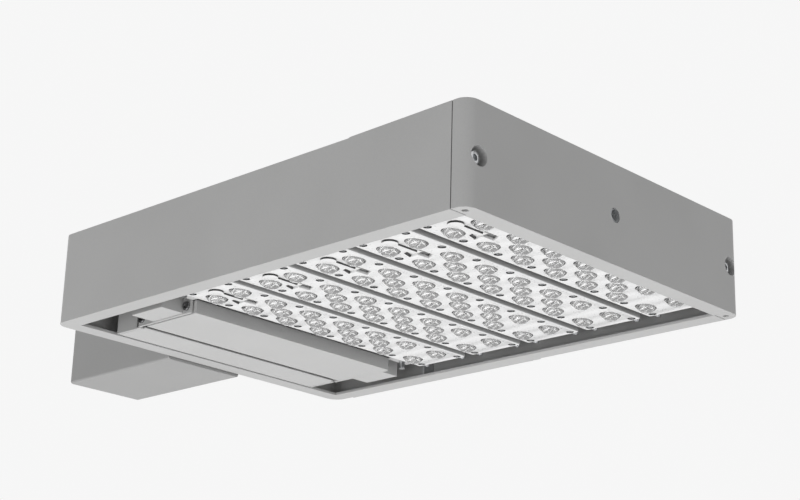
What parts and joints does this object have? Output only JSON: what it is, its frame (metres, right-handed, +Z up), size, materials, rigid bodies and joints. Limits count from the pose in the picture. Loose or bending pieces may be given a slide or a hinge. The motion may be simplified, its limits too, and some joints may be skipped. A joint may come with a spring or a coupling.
{
  "type": "area light",
  "caption": "Flat rectangular outdoor area light on a square pole arm, with rows of lensed light bars and a hinged driver door in its open underside.",
  "frame": {"origin": "centre of the arm's pole face, which bolts against the pole", "axes": "+X from the pole out along the arm to the front cap, +Y to the side away from the lead channels, +Z up; the light shines down"},
  "size_m": [0.738, 0.4065, 0.1004],
  "materials": {
    "paint": "light grey powder coat",
    "sheet_paint": "light grey powder coat",
    "lens": "clear and white moulding",
    "aluminium": "mill",
    "steel": "zinc plated",
    "black_screw": "blackened",
    "board": "solder mask",
    "chip": "phosphor",
    "gasket": "matte",
    "seal_grey": "matte",
    "white_plastic": "matte",
    "dark_plastic": "matte",
    "driver_case": "satin",
    "lead_white": "insulation",
    "lead_dark": "insulation"
  },
  "bodies": {
    "light": {"housing": "paint", "front_cap": "paint", "cap_gasket": "gasket", "cap_screws": "steel", "heat_sink": "aluminium", "heat_sink_screws": "steel", "partition": "aluminium", "partition_screws": "steel", "lead_grommet": "gasket", "rail_1": "aluminium", "rail_2": "aluminium", "rail_3": "aluminium", "rail_4": "aluminium", "rail_5": "aluminium", "rail_screws": "steel", "led_board_1": "board", "led_board_2": "board", "led_board_3": "board", "led_board_4": "board", "led_board_5": "board", "led_chips": "chip", "board_connectors": "white_plastic", "bar_gasket_1": "seal_grey", "bar_gasket_2": "seal_grey", "bar_gasket_3": "seal_grey", "bar_gasket_4": "seal_grey", "bar_gasket_5": "seal_grey", "lens_plate_1": "lens", "lens_plate_2": "lens", "lens_plate_3": "lens", "lens_plate_4": "lens", "lens_plate_5": "lens", "lens_plate_screws": "black_screw", "bar_leads": "lead_white", "junction_block": "dark_plastic", "output_leads": "lead_white", "led_driver": "driver_case", "driver_screws": "steel", "terminal_block": "white_plastic", "surge_protector": "dark_plastic", "supply_leads": "lead_dark", "driver_leads": "lead_dark", "surge_leads": "lead_dark", "end_bracket_left": "sheet_paint", "end_bracket_right": "sheet_paint", "bracket_screws": "steel", "nose_screws": "steel", "hinge_screws": "steel", "closing_screws": "steel", "wiring_cover": "sheet_paint", "cover_posts": "steel", "arm": "paint", "pole_plate": "aluminium", "arm_flange": "aluminium", "arm_gasket": "gasket", "arm_bolts": "steel", "wire_bushing": "gasket"},
    "door": {"driver_door": "sheet_paint"}
  },
  "joints": [
    {"name": "door_hinge", "type": "hinge", "parent": "light", "child": "door", "pos_m": [0.315, 0, -0.033], "axis": [0, -1, 0], "range_deg": [0, 90]}
  ]
}
